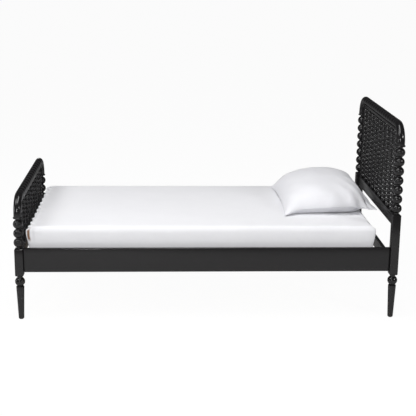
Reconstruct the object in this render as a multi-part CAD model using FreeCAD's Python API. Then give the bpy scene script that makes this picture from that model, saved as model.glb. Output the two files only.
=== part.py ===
"""Twin spindle bed in turned and painted wood, with its mattress and pillow.

Frame: millimetres, Z up, origin on the floor at the middle of the bed.
X runs from the foot end to the head end, Y from the right side to the left side.
Turned work is drawn with flats, a few round each turning, which keeps the bed light.
"""
import FreeCAD, Part
import math
import os

Vector = FreeCAD.Vector

# ------------------------------------------------------------------ driving dimensions
# Bed, between post centres
axis_length = 2040.0
axis_width = 1030.0

# Posts
glide_height = 3.0
glide_diameter = 24.0
foot_height = 188.0
foot_bottom_diameter = 30.0
foot_top_diameter = 43.5
leg_ball_diameter = 54.0
leg_neck_diameter = 29.0
leg_neck_low = 4.0
leg_neck_high = 10.5
block_width = 45.0
block_corner = 10.5
block_bevel = 4.0
headboard_block_extra = 189.0

# Balls of the posts
ball_diameter = 53.0
ball_waist = 24.0
ball_neck_length = 4.25
ball_block_gap = 5.5
headboard_ball_count = 7
footboard_ball_count = 3

# Elbows and top rails
collar_gap = 4.5
collar_height = 9.0
collar_diameter = 51.0
elbow_diameter = 43.0
bend_radius = 90.0
elbow_leg = 10.0
top_bead_diameter = 44.0
top_bead_waist = 34.0
top_bead_pitch = 53.0
bead_band_share = 0.36
tenon_diameter = 24.0
tenon_length = 28.0

# Strips inside the top rails and elbows
strip_width = 24.0
strip_depth = 15.0

# Spindles
spindle_count = 9
bead_diameter = 29.5
bead_pitch = 25.9
bead_waist = 18.0
spindle_tenon_diameter = 12.0
spindle_tenon_length = 10.0
spindle_end_margin = 13.0

# Boards between the posts
cross_board_height = 62.0
panel_rail_thickness = 24.0
panel_rail_below_block = 10.0
lower_rail_thickness = 20.0
board_tenon_length = 12.0
board_tenon_thickness = 12.0
board_tenon_shoulder = 9.0

# Side rails and what carries the mattress
side_rail_height = 133.0
side_rail_thickness = 22.0
side_rail_above_block = 21.0
side_rail_outset = 10.0
side_rail_edge = 2.0
cleat_height = 25.0
cleat_width = 22.0
cleat_above_rail = 20.0
cleat_end_gap = 20.0
slat_count = 12
slat_width = 70.0
slat_thickness = 18.0
slat_end_gap = 3.0
slat_margin_foot = 45.0
slat_margin_head = 60.0
tape_width = 30.0
tape_thickness = 1.0
tape_from_middle = 300.0

# Fasteners
bolt_diameter = 8.0
bolt_spacing = 43.0
bolt_length = 82.0
bolt_head_diameter = 13.0
bolt_head_height = 5.0
bolt_recess_depth = 7.0
barrel_diameter = 12.0
barrel_length = 16.0
plug_diameter = 13.0
plug_height = 3.5
plug_stem = 12.0
plug_above_rail = 28.0

# Mattress and pillow
mattress_thickness = 178.0
mattress_crown = 5.0
mattress_corner = 38.0
mattress_corner_growth = 0.4
mattress_edge = 22.0
mattress_waist = 5.0
mattress_from_foot_axis = 35.0
mattress_from_head_axis = 95.0
mattress_from_side_axis = 20.0
pillow_length = 665.0
pillow_width = 490.0
pillow_crown = 155.0
pillow_belly = 14.0
pillow_edge = 8.0
pillow_draw = 22.0
pillow_peak_shift = 20.0
pillow_fullness = 2.6
pillow_head_overhang = 28.0
pillow_side_shift = 70.0

# Clearances
joint_gap = 0.2
seat_gap = 0.3
hole_gap = 0.5

# Flats round each turned form
small_sides = 6
ball_sides = 8
elbow_sides = 12
foot_sides = 12
bend_steps = 6
corner_flats = 4
pillow_slices = 12
pillow_top_flats = 10

# ------------------------------------------------------------------ heights that follow
ball_pitch = math.sqrt(ball_diameter ** 2 - ball_waist ** 2) + ball_neck_length
neck_low = foot_height + leg_neck_low
neck_high = neck_low + math.sqrt(leg_ball_diameter ** 2 - leg_neck_diameter ** 2)
block_bottom = neck_high + leg_neck_high
rail_bottom = block_bottom + side_rail_above_block
rail_top = rail_bottom + side_rail_height
rail_middle = (rail_bottom + rail_top) / 2
headboard_block_top = rail_top + headboard_block_extra
cleat_top = rail_bottom + cleat_above_rail + cleat_height
slat_top = cleat_top + slat_thickness
tape_top = slat_top + tape_thickness
rail_inner = axis_width / 2 + side_rail_outset - side_rail_thickness
rail_outer = rail_inner + side_rail_thickness
rail_centre = (rail_inner + rail_outer) / 2
post_face = axis_length / 2 - block_width / 2
strip_offset = max(elbow_diameter, top_bead_diameter) / 2 + seat_gap
foot_x = -axis_length / 2
head_x = axis_length / 2
mattress_foot_x = foot_x + mattress_from_foot_axis
mattress_head_x = head_x - mattress_from_head_axis
mattress_bottom = tape_top + seat_gap
mattress_top = mattress_bottom + mattress_thickness

os.makedirs("parts", exist_ok=True)


def export(shape, name):
    """Write one named piece, after checking that its solids are sound."""
    if not shape.isValid() or not shape.Solids:
        raise RuntimeError("unsound piece: " + name)
    shape.exportStep("parts/" + name + ".step")


# ------------------------------------------------------------------ turned work
def through_rings(rings):
    """One solid of flat faces through rings of points, closed at its two end rings."""
    faces = [flat_face(rings[0]), flat_face(rings[-1])]
    for lower, upper in zip(rings, rings[1:]):
        for index in range(len(lower)):
            following = (index + 1) % len(lower)
            faces.append(flat_face([lower[index], lower[following], upper[following], upper[index]]))
    return solid_inside(faces)


def through_slices(slices):
    """As through_rings, for rings of unlike shape: each side is halved into two flats."""
    faces = [flat_face(slices[0]), flat_face(slices[-1])]
    for near, far in zip(slices, slices[1:]):
        for index in range(len(near)):
            following = (index + 1) % len(near)
            faces.append(flat_face([near[index], near[following], far[following]]))
            faces.append(flat_face([near[index], far[following], far[index]]))
    return solid_inside(faces)


def solid_inside(faces):
    solid = Part.Solid(Part.Shell(faces))
    if solid.Volume < 0:
        solid.reverse()
    return solid


def flat_face(points):
    return Part.Face(Part.makePolygon(points + points[:1]))


def flat_ring(height, radius, sides):
    """Corners of a ring of equal flats, square to Z, with one corner towards Y."""
    points = []
    for index in range(sides):
        angle = math.pi / 2 + 2 * math.pi * index / sides
        points.append(Vector(radius * math.cos(angle), radius * math.sin(angle), height))
    return points


def turned(stations, sides):
    """One solid through stations (height, radius), as if turned about Z."""
    return through_rings([flat_ring(height, radius, sides) for height, radius in stations])


def ball_stations(centre, diameter, waist, steps):
    """Stations of a ball from one waist to the other, in equal steps of its arc."""
    radius = diameter / 2
    reach = math.acos(waist / diameter)
    stations = []
    for index in range(steps + 1):
        angle = reach * (2 * index / steps - 1)
        stations.append((centre + radius * math.sin(angle), radius * math.cos(angle)))
    return stations


def barrel_stations(centre, diameter, waist, pitch):
    """Stations of a bead with a flat middle band, touching its neighbours at the waist."""
    band = bead_band_share * pitch
    return [
        (centre - pitch / 2, waist / 2),
        (centre - band / 2, diameter / 2),
        (centre + band / 2, diameter / 2),
    ]


def laid_along_y(shape):
    """Lay a piece that was turned about Z along Y."""
    laid = shape.copy()
    laid.rotate(Vector(0, 0, 0), Vector(1, 0, 0), -90)
    return laid


def rod(diameter, length, base, direction):
    """A round rod or drilled hole from base along direction, drawn with flats."""
    piece = turned([(0, diameter / 2), (length, diameter / 2)], small_sides)
    piece.Placement = FreeCAD.Placement(base, FreeCAD.Rotation(Vector(0, 0, 1), direction))
    return piece


def box(low, high):
    size = high - low
    return Part.makeBox(size.x, size.y, size.z, low)


def mirrored_y(shape):
    return shape.mirror(Vector(0, 0, 0), Vector(0, 1, 0))


# ------------------------------------------------------------------ posts
def first_ball_centre(block_top):
    return block_top + ball_block_gap + ball_diameter / 2


def collar_bottom(block_top, ball_count):
    last_centre = first_ball_centre(block_top) + (ball_count - 1) * ball_pitch
    return last_centre + ball_diameter / 2 + collar_gap


def top_rail_height(block_top, ball_count):
    return collar_bottom(block_top, ball_count) + collar_height + elbow_leg + bend_radius


def block_ring(height, inset):
    """Outline of the block: a square with its four corners cut off."""
    half = block_width / 2 - inset
    flat = block_width / 2 - block_corner
    points = []
    for turn in range(4):
        quarter = FreeCAD.Rotation(Vector(0, 0, 1), 90 * turn)
        points.append(quarter.multVec(Vector(half, -flat, 0)) + Vector(0, 0, height))
        points.append(quarter.multVec(Vector(half, flat, 0)) + Vector(0, 0, height))
    return points


def post_block(bottom, top):
    """The long block, its two ends bevelled."""
    return through_rings([
        block_ring(bottom, block_bevel),
        block_ring(bottom + block_bevel, 0),
        block_ring(top - block_bevel, 0),
        block_ring(top, block_bevel),
    ])


def post(block_top, ball_count):
    """A whole post about Z: foot, leg ball, block, row of balls and top tenon."""
    foot = turned([
        (glide_height, foot_bottom_diameter / 2),
        (foot_height, foot_top_diameter / 2),
    ], foot_sides)

    leg_centre = (neck_low + neck_high) / 2
    leg = [(foot_height, leg_neck_diameter / 2)]
    leg += ball_stations(leg_centre, leg_ball_diameter, leg_neck_diameter, 4)
    leg.append((block_bottom, leg_neck_diameter / 2))
    leg_turning = turned(leg, ball_sides)

    row = [(block_top, ball_waist / 2)]
    for index in range(ball_count):
        centre = first_ball_centre(block_top) + index * ball_pitch
        row += ball_stations(centre, ball_diameter, ball_waist, 4)
    tenon_top = collar_bottom(block_top, ball_count) + tenon_length
    row.append((tenon_top, tenon_diameter / 2))
    row_turning = turned(row, ball_sides)

    block = post_block(block_bottom, block_top)
    return foot.fuse([leg_turning, block, row_turning])


def rail_bolt_holes(outer_x, inward):
    """Holes through a post block for the pair of bolts that hold a side rail."""
    holes = []
    for height in bolt_heights():
        start = Vector(outer_x, 0, height)
        holes.append(rod(bolt_diameter + hole_gap, block_width, start, inward))
        holes.append(rod(bolt_head_diameter + 2 * hole_gap, bolt_recess_depth, start, inward))
    return holes


def bolt_heights():
    return [rail_middle - bolt_spacing / 2, rail_middle + bolt_spacing / 2]


def board_tenon_box(inner_y, thickness_centre_x, bottom, height, grow):
    """The tenon at one end of a cross board, or its mortise when grown by a gap."""
    low = Vector(thickness_centre_x - board_tenon_thickness / 2 - grow,
                 inner_y - grow,
                 bottom + board_tenon_shoulder - grow)
    high = Vector(thickness_centre_x + board_tenon_thickness / 2 + grow,
                  inner_y + board_tenon_length + grow,
                  bottom + height - board_tenon_shoulder + grow)
    return box(low, high)


def panel_rail_bottom(block_top):
    return block_top - panel_rail_below_block - cross_board_height


def make_posts(end_name, end_x, block_top, ball_count, boards):
    """The two posts of one end; boards lists (bottom, height) of its cross boards."""
    outward = 1 if end_x > 0 else -1
    inner_face = axis_width / 2 - block_width / 2
    solid = post(block_top, ball_count)
    solid.translate(Vector(end_x, axis_width / 2, 0))
    cuts = []
    for hole in rail_bolt_holes(end_x + outward * block_width / 2, Vector(-outward, 0, 0)):
        hole.translate(Vector(0, rail_centre, 0))
        cuts.append(hole)
    for bottom, height in boards:
        cuts.append(board_tenon_box(inner_face, end_x, bottom, height, joint_gap))
    if end_x > 0:
        for height in plug_heights():
            start = Vector(end_x + block_width / 2, rail_centre, height)
            cuts.append(rod(bolt_diameter + hole_gap, plug_stem + hole_gap, start, Vector(-1, 0, 0)))
    left = solid.cut(cuts)
    export(left, end_name + "_post_left")
    export(mirrored_y(left), end_name + "_post_right")


def plug_heights():
    lower = rail_top + plug_above_rail
    return [lower, lower + bolt_spacing]


# ------------------------------------------------------------------ elbows and strips
def bent_solid(section, rail_height, bottom, side_y):
    """Carry a section up from the height bottom and round a quarter bend.

    The section is a list of (along X, outward) points measured from the centre line
    of the elbow; the bend ends square to Y, where the top rail begins.
    """
    centre_y = side_y - bend_radius
    centre_z = rail_height - bend_radius
    rings = [[Vector(x, side_y + out, bottom) for x, out in section]]
    for step in range(bend_steps + 1):
        angle = math.pi / 2 * step / bend_steps
        along, upward = math.cos(angle), math.sin(angle)
        ring = []
        for x, out in section:
            radius = bend_radius + out
            ring.append(Vector(x, centre_y + radius * along, centre_z + radius * upward))
        rings.append(ring)
    return through_rings(rings)


def round_section(diameter, sides):
    """Points of a round section; its inner and outer flats lie square to the bend."""
    points = []
    for index in range(sides):
        angle = 2 * math.pi * index / sides
        points.append((diameter / 2 * math.sin(angle), diameter / 2 * math.cos(angle)))
    return points


def elbow(block_top, ball_count):
    """The left elbow about X = 0: collar, straight leg and quarter bend."""
    rail_height = top_rail_height(block_top, ball_count)
    bottom = collar_bottom(block_top, ball_count)
    side_y = axis_width / 2
    bend = bent_solid(round_section(elbow_diameter, elbow_sides), rail_height,
                      bottom + collar_height / 2, side_y)
    lip = collar_height / 3
    collar = turned([
        (bottom, collar_diameter / 2 - lip),
        (bottom + lip, collar_diameter / 2),
        (bottom + 2 * lip, collar_diameter / 2),
        (bottom + collar_height, elbow_diameter / 2),
    ], elbow_sides)
    collar.translate(Vector(0, side_y, 0))
    post_socket = turned([
        (bottom - joint_gap, tenon_diameter / 2 + joint_gap),
        (bottom + tenon_length + joint_gap, tenon_diameter / 2 + joint_gap),
    ], ball_sides)
    post_socket.translate(Vector(0, side_y, 0))
    rail_socket = laid_along_y(turned([
        (-joint_gap, tenon_diameter / 2 + joint_gap),
        (tenon_length + joint_gap, tenon_diameter / 2 + joint_gap),
    ], ball_sides))
    rail_socket.translate(Vector(0, side_y - bend_radius, rail_height))
    return bend.fuse(collar).cut([post_socket, rail_socket])


def strip_section():
    """Section of the inner strip, hung on the inside of the elbow or top rail."""
    near = -strip_offset
    far = near - strip_depth
    half = strip_width / 2
    return [(-half, near), (half, near), (half, far), (-half, far)]


def strip_underside(rail_height):
    return rail_height - strip_offset - strip_depth


def make_arch(end_name, end_x, block_top, ball_count):
    """Elbows, top rail and inner strips of one end."""
    rail_height = top_rail_height(block_top, ball_count)
    left_elbow = elbow(block_top, ball_count)
    left_elbow.translate(Vector(end_x, 0, 0))
    export(left_elbow, end_name + "_elbow_left")
    export(mirrored_y(left_elbow), end_name + "_elbow_right")

    strip_bottom = collar_bottom(block_top, ball_count) + collar_height + seat_gap
    corner = bent_solid(strip_section(), rail_height, strip_bottom, axis_width / 2)
    corner.translate(Vector(end_x, 0, 0))
    export(corner, end_name + "_corner_strip_left")
    export(mirrored_y(corner), end_name + "_corner_strip_right")

    span = axis_width - 2 * bend_radius
    bead_count = max(1, round(span / top_bead_pitch))
    pitch = span / bead_count
    shoulder = span / 2 - joint_gap
    beads = []
    for index in range(bead_count):
        centre = -span / 2 + pitch * (index + 0.5)
        beads += barrel_stations(centre, top_bead_diameter, top_bead_waist, pitch)
    stations = [(-span / 2 - tenon_length, tenon_diameter / 2),
                (-shoulder, tenon_diameter / 2),
                (-shoulder, top_bead_waist / 2)]
    stations += beads[1:]
    stations += [(shoulder, top_bead_waist / 2),
                 (shoulder, tenon_diameter / 2),
                 (span / 2 + tenon_length, tenon_diameter / 2)]
    top_rail = laid_along_y(turned(stations, ball_sides))
    top_rail.translate(Vector(end_x, 0, rail_height))
    export(top_rail, end_name + "_top_rail")

    underside = strip_underside(rail_height)
    half_strip = span / 2 - joint_gap / 2
    strip = box(Vector(end_x - strip_width / 2, -half_strip, underside),
                Vector(end_x + strip_width / 2, half_strip, underside + strip_depth))
    for place in spindle_places():
        strip = strip.cut(spindle_hole(end_x, place, underside, 1))
    export(strip, end_name + "_top_strip")


# ------------------------------------------------------------------ spindles and boards
def spindle_places():
    """Even places along the straight of the top rail, a margin in from each elbow."""
    first = bend_radius + spindle_end_margin - axis_width / 2
    pitch = -2 * first / (spindle_count - 1)
    return [first + pitch * index for index in range(spindle_count)]


def spindle_hole(end_x, place, height, upward):
    """Socket for a spindle tenon, drilled up or down from a board's face."""
    reach = spindle_tenon_length + joint_gap
    radius = spindle_tenon_diameter / 2 + joint_gap
    low = height if upward > 0 else height - reach
    socket = turned([(low, radius), (low + reach, radius)], small_sides)
    socket.translate(Vector(end_x, place, 0))
    return socket


def make_spindles(end_name, end_x, block_top, ball_count):
    """Spindles that start in beads on the panel rail and end in a plain neck at the strip."""
    bottom = block_top - panel_rail_below_block
    top = strip_underside(top_rail_height(block_top, ball_count))
    bead_count = int((top - bottom) / bead_pitch)
    tenon_radius = spindle_tenon_diameter / 2
    stations = [(bottom - spindle_tenon_length, tenon_radius), (bottom, tenon_radius)]
    for index in range(bead_count):
        centre = bottom + bead_pitch * (index + 0.5)
        stations += barrel_stations(centre, bead_diameter, bead_waist, bead_pitch)
    stations.append((bottom + bead_count * bead_pitch, bead_waist / 2))
    stations += [(top, bead_waist / 2), (top, tenon_radius)]
    stations.append((top + spindle_tenon_length, tenon_radius))
    spindle = turned(stations, small_sides)
    for index, place in enumerate(spindle_places()):
        copy = spindle.copy()
        copy.translate(Vector(end_x, place, 0))
        export(copy, "%s_spindle_%02d" % (end_name, index + 1))


def cross_board(end_x, bottom, height, thickness):
    """A board from post to post with a tenon at each end."""
    half = axis_width / 2 - block_width / 2
    board = box(Vector(end_x - thickness / 2, -half, bottom),
                Vector(end_x + thickness / 2, half, bottom + height))
    tenon = board_tenon_box(half, end_x, bottom, height, 0)
    return board.fuse([tenon, mirrored_y(tenon)])


def make_boards():
    head_bottom = panel_rail_bottom(headboard_block_top)
    foot_bottom = panel_rail_bottom(rail_top)
    for end_name, end_x, bottom in (("headboard", head_x, head_bottom), ("footboard", foot_x, foot_bottom)):
        board = cross_board(end_x, bottom, cross_board_height, panel_rail_thickness)
        for place in spindle_places():
            board = board.cut(spindle_hole(end_x, place, bottom + cross_board_height, -1))
        export(board, end_name + "_panel_rail")
    lower = cross_board(head_x, rail_bottom, cross_board_height, lower_rail_thickness)
    export(lower, "headboard_lower_rail")


# ------------------------------------------------------------------ side rails and slats
def make_side_rails():
    """Side rails with bolt holes in their ends and a cross hole for each barrel nut."""
    rail = box(Vector(-post_face + joint_gap, rail_inner, rail_bottom),
               Vector(post_face - joint_gap, rail_outer, rail_top))
    long_edges = []
    for edge in rail.Edges:
        if edge.BoundBox.XLength > axis_length / 2:
            long_edges.append(edge)
    rail = rail.makeChamfer(side_rail_edge, long_edges)
    cuts = []
    for side in (-1, 1):
        for height in bolt_heights():
            end = Vector(side * post_face, rail_centre, height)
            cuts.append(rod(bolt_diameter + hole_gap, bolt_reach() + 5, end, Vector(-side, 0, 0)))
            nut = Vector(side * (post_face - barrel_inset()), rail_inner, height)
            cuts.append(rod(barrel_diameter + hole_gap, barrel_length + hole_gap, nut, Vector(0, 1, 0)))
    left = rail.cut(cuts)
    export(left, "side_rail_left")
    export(mirrored_y(left), "side_rail_right")

    half_cleat = post_face - cleat_end_gap
    cleat = box(Vector(-half_cleat, rail_inner - cleat_width, cleat_top - cleat_height),
                Vector(half_cleat, rail_inner, cleat_top))
    export(cleat, "slat_cleat_left")
    export(mirrored_y(cleat), "slat_cleat_right")


def bolt_reach():
    """How far a rail bolt runs into the side rail."""
    return bolt_length - (block_width - bolt_recess_depth)


def barrel_inset():
    """Barrel nut centre from the end of the rail; the bolt ends at its far side."""
    return bolt_reach() - barrel_diameter / 2


def slat_places():
    first = mattress_foot_x + slat_margin_foot
    last = mattress_head_x - slat_margin_head
    pitch = (last - first) / (slat_count - 1)
    return [first + pitch * index for index in range(slat_count)]


def make_slats():
    half = rail_inner - slat_end_gap
    for index, place in enumerate(slat_places()):
        slat = box(Vector(place - slat_width / 2, -half, cleat_top),
                   Vector(place + slat_width / 2, half, slat_top))
        export(slat, "slat_%02d" % (index + 1))

    tapes = []
    for side in (-1, 1):
        middle = side * tape_from_middle
        tapes.append(box(Vector(slat_places()[0] - slat_width / 2, middle - tape_width / 2, slat_top),
                         Vector(slat_places()[-1] + slat_width / 2, middle + tape_width / 2, tape_top)))
    export(Part.makeCompound(tapes), "slat_tapes")


# ------------------------------------------------------------------ fasteners
def make_fasteners():
    bolts = []
    nuts = []
    for end in (-1, 1):
        outer = end * (axis_length / 2 + block_width / 2 - bolt_recess_depth)
        inward = Vector(-end, 0, 0)
        for side in (-1, 1):
            for height in bolt_heights():
                seat = Vector(outer, side * rail_centre, height)
                shank = rod(bolt_diameter, bolt_length, seat, inward)
                head = rod(bolt_head_diameter, bolt_head_height, seat, Vector(end, 0, 0))
                bolts.append(shank.fuse(head))
                nut_base = Vector(end * (post_face - barrel_inset()), side * rail_inner, height)
                nut = rod(barrel_diameter, barrel_length, nut_base, Vector(0, side, 0))
                nuts.append(nut.cut(shank))
    export(Part.makeCompound(bolts), "rail_bolts")
    export(Part.makeCompound(nuts), "rail_barrel_nuts")

    plugs = []
    for side in (-1, 1):
        for height in plug_heights():
            seat = Vector(axis_length / 2 + block_width / 2, side * rail_centre, height)
            stem = rod(bolt_diameter, plug_stem, seat, Vector(-1, 0, 0))
            dome = turned([(0, plug_diameter / 2), (plug_height, plug_diameter / 4)], small_sides)
            dome.Placement = FreeCAD.Placement(seat, FreeCAD.Rotation(Vector(0, 0, 1), Vector(1, 0, 0)))
            plugs.append(stem.fuse(dome))
    export(Part.makeCompound(plugs), "headboard_hole_plugs")

    glides = []
    for end_x in (foot_x, head_x):
        for side in (-1, 1):
            base = Vector(end_x, side * axis_width / 2, 0)
            glides.append(rod(glide_diameter, glide_height, base, Vector(0, 0, 1)))
    export(Part.makeCompound(glides), "floor_glides")


# ------------------------------------------------------------------ mattress and pillow
def mattress_ring(height, inset):
    """A level outline of the mattress: four sides and four rounded corners."""
    centre_x = (mattress_foot_x + mattress_head_x) / 2
    half_x = (mattress_head_x - mattress_foot_x) / 2 - inset
    half_y = axis_width / 2 - mattress_from_side_axis - inset
    corner = mattress_corner + mattress_corner_growth * inset
    points = []
    for turn, (sign_x, sign_y) in enumerate(((1, 1), (-1, 1), (-1, -1), (1, -1))):
        middle = Vector(centre_x + sign_x * (half_x - corner), sign_y * (half_y - corner), height)
        for step in range(corner_flats + 1):
            angle = math.pi / 2 * (turn + step / corner_flats)
            points.append(middle + Vector(corner * math.cos(angle), corner * math.sin(angle), 0))
    return points


def make_mattress():
    """Mattress: drawn-in sides, rounded edges and a low crown."""
    bottom, top = mattress_bottom, mattress_top
    slope = mattress_edge * (1 - math.cos(math.pi / 4))
    crown_inset = axis_width / 4
    export(through_rings([
        mattress_ring(bottom, mattress_edge),
        mattress_ring(bottom + slope, slope),
        mattress_ring(bottom + mattress_edge, 0),
        mattress_ring((bottom + top) / 2, mattress_waist),
        mattress_ring(top - mattress_edge, 0),
        mattress_ring(top - slope, slope),
        mattress_ring(top, mattress_edge),
        mattress_ring(top + mattress_crown, crown_inset),
    ]), "mattress")


def pillow_slice(along, half_width, crown, centre_x, base):
    """A slice square to Y: a high curve above, a low curve below, short flat edges."""
    edge_low = base + pillow_belly
    edge_high = edge_low + pillow_edge
    peak = pillow_peak_shift * crown / pillow_crown
    dip = pillow_belly * crown / pillow_crown
    points = []
    for step in range(pillow_top_flats + 1):
        angle = math.pi * step / pillow_top_flats
        across = half_width * math.cos(angle) + peak * math.sin(angle)
        points.append(Vector(centre_x + across, along, edge_high + crown * math.sin(angle)))
    for step in range(pillow_top_flats, -1, -2):
        angle = math.pi * step / pillow_top_flats
        across = half_width * math.cos(angle)
        points.append(Vector(centre_x + across, along, edge_low - dip * math.sin(angle)))
    return points


def make_pillow():
    """Pillow: full in the middle, thin at the seam, its sides drawn in between corners."""
    base = mattress_top + mattress_crown + seat_gap
    centre_x = mattress_head_x + pillow_head_overhang - pillow_width / 2
    slices = []
    for index in range(pillow_slices + 1):
        share = -math.cos(math.pi * index / pillow_slices)
        along = pillow_side_shift + share * pillow_length / 2
        fullness = math.sqrt(max(1 - abs(share) ** pillow_fullness, 0))
        crown = pillow_edge + (pillow_crown - pillow_edge) * fullness
        half_width = pillow_width / 2 - pillow_draw * fullness
        slices.append(pillow_slice(along, half_width, crown, centre_x, base))
    export(through_slices(slices), "pillow")


# ------------------------------------------------------------------ build
headboard_boards = [(panel_rail_bottom(headboard_block_top), cross_board_height),
                    (rail_bottom, cross_board_height)]
footboard_boards = [(panel_rail_bottom(rail_top), cross_board_height)]

make_posts("headboard", head_x, headboard_block_top, headboard_ball_count, headboard_boards)
make_posts("footboard", foot_x, rail_top, footboard_ball_count, footboard_boards)
make_arch("headboard", head_x, headboard_block_top, headboard_ball_count)
make_arch("footboard", foot_x, rail_top, footboard_ball_count)
make_spindles("headboard", head_x, headboard_block_top, headboard_ball_count)
make_spindles("footboard", foot_x, rail_top, footboard_ball_count)
make_boards()
make_side_rails()
make_slats()
make_fasteners()
make_mattress()
make_pillow()
print("written", len(os.listdir("parts")), "pieces")
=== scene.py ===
# %% [markdown]
# # A spindle bed
#
# This lesson dresses a bed of turned, black painted wood. The measured model of the
# bed is loaded as a fixed frame: it says where every piece is and how large it is.
# Here each piece gets its smooth final shape and its finish: round balls and beads,
# boards with eased edges, a mattress in a fitted sheet, and a pillow in its case.

# %% Load the frame
import math

import bmesh
import bpy
from mathutils import Matrix, Vector
from mathutils.noise import noise as noise_at


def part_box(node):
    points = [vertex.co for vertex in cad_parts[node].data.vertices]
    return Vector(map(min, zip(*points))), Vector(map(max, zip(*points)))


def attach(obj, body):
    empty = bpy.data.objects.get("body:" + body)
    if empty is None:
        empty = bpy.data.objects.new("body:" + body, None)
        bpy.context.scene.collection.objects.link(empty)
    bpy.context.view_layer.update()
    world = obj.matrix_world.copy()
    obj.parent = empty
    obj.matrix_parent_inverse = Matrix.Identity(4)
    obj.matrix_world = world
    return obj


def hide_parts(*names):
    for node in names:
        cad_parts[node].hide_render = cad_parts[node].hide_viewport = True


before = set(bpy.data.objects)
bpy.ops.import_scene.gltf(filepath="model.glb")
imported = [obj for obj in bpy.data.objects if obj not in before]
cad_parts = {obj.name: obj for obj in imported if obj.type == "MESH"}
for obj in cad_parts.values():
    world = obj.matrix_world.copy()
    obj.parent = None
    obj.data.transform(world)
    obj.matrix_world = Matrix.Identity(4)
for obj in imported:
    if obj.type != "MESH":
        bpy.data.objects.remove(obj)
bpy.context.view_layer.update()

mm = 0.001
scene = bpy.context.scene
print("nodes in the frame:", len(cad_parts))

# %% [markdown]
# ## Camera
#
# The picture is taken from in front of the near side rail, a little towards the
# foot end and well above the mattress. The camera swings about the upright axis,
# tips down, and leans by a fraction of a degree. Its long lens keeps the posts
# nearly parallel.

# %% Camera
camera_place = Vector((-0.2391, -5.5434, 1.9575))
camera_swing = -0.0468
camera_tip = 0.2586
camera_lean = 0.0118

camera_data = bpy.data.cameras.new("camera")
camera_data.lens = 83.94
camera_data.sensor_width = 36.0
camera_data.clip_end = 100.0
camera = bpy.data.objects.new("camera", camera_data)
scene.collection.objects.link(camera)
camera.matrix_world = (
    Matrix.Translation(camera_place)
    @ Matrix.Rotation(camera_swing, 4, "Z")
    @ Matrix.Rotation(math.pi / 2 - camera_tip, 4, "X")
    @ Matrix.Rotation(camera_lean, 4, "Z")
)
scene.camera = camera
print("camera at", tuple(camera_place))

# %% [markdown]
# ## Places on the bed
#
# Every piece goes where the frame says. A few places are read once from the boxes
# of the frame's pieces, so a change of the bed moves everything.

# %% Places read from the frame
def middle(frame_piece, axis):
    """The middle of a frame piece's box along one axis."""
    low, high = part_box(frame_piece)
    return (low[axis] + high[axis]) / 2


block_below_rail = 21 * mm
block_above_panel_rail = 10 * mm
block_half = 22.5 * mm
bolt_spacing = 43 * mm

ends = {end: middle(end + "_panel_rail", 0) for end in ("headboard", "footboard")}
post_y = middle("headboard_post_left", 1)
rail_low, rail_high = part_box("side_rail_left")
rail_y = middle("side_rail_left", 1)
block_bottom = rail_low.z - block_below_rail
block_tops = {end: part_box(end + "_panel_rail")[1].z + block_above_panel_rail for end in ends}
bolt_heights = [middle("side_rail_left", 2) + side * bolt_spacing / 2 for side in (-1, 1)]
outer_face = ends["headboard"] + block_half
print("posts at", ends, "and", post_y, "blocks end at", block_tops)

# %% [markdown]
# ## Working like a lathe
#
# Almost everything at the two ends of this bed was turned on a lathe. In Blender
# half of the outline is drawn corner by corner and spun once round the axis. A
# ball drawn this way keeps its waist where it meets the next one.

# %% Helpers: name, edit and smooth a piece
painted = {}


def choose(piece):
    bpy.ops.object.select_all(action="DESELECT")
    piece.select_set(True)
    bpy.context.view_layer.objects.active = piece


def named(name):
    """Name the piece that was just added, and settle it where it stands."""
    piece = bpy.context.active_object
    piece.name = name
    piece.data.name = name
    bpy.ops.object.transform_apply()
    return piece


def edit(piece):
    """Open a piece for editing with all of it selected."""
    choose(piece)
    bpy.ops.object.mode_set(mode="EDIT")
    bpy.ops.mesh.select_all(action="SELECT")


def stop_editing():
    bpy.ops.object.mode_set(mode="OBJECT")


def apply_modifiers(piece):
    choose(piece)
    for modifier in list(piece.modifiers):
        bpy.ops.object.modifier_apply(modifier=modifier.name)


def face_outwards(piece):
    edit(piece)
    bpy.ops.mesh.remove_doubles(threshold=0.01 * mm)
    bpy.ops.mesh.normals_make_consistent(inside=False)
    stop_editing()


def smooth(piece, degrees=35):
    """Shade softly, except over edges that are sharper than an angle."""
    choose(piece)
    bpy.ops.object.shade_smooth_by_angle(angle=math.radians(degrees))


# %% Helpers: join, copy and mirror pieces
def joined(pieces, name):
    choose(pieces[0])
    for piece in pieces:
        piece.select_set(True)
    bpy.ops.object.join()
    return named(name)


def copied(piece, name, move=(0, 0, 0)):
    twin = piece.copy()
    twin.data = piece.data.copy()
    twin.name = name
    twin.data.name = name
    twin.data.transform(Matrix.Translation(Vector(move)))
    scene.collection.objects.link(twin)
    return twin


def paint_both_sides(left, node_name, degrees):
    """Smooth a left piece, mirror it to the right, and list both for painting."""
    smooth(left, degrees)
    right = copied(left, left.name.replace("left", "right"))
    right.data.transform(Matrix.Diagonal((1, -1, 1, 1)))
    face_outwards(right)
    smooth(right, degrees)
    painted[node_name] = left
    painted[node_name.replace("left", "right")] = right


# %% Helpers: draw an outline and spin it
def arc(centre, radius, first, last, steps):
    """Points of an arc about a centre, given as (distance from the axis, height)."""
    angles = [first + (last - first) * index / steps for index in range(steps + 1)]
    return [
        (centre[0] + radius * math.cos(angle), centre[1] + radius * math.sin(angle))
        for angle in angles
    ]


def ball_outline(height, diameter, waist):
    """Outline of a ball from one waist to the other."""
    reach = math.acos(waist / diameter)
    return arc((0, height), diameter / 2, -reach, reach, 14)


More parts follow.
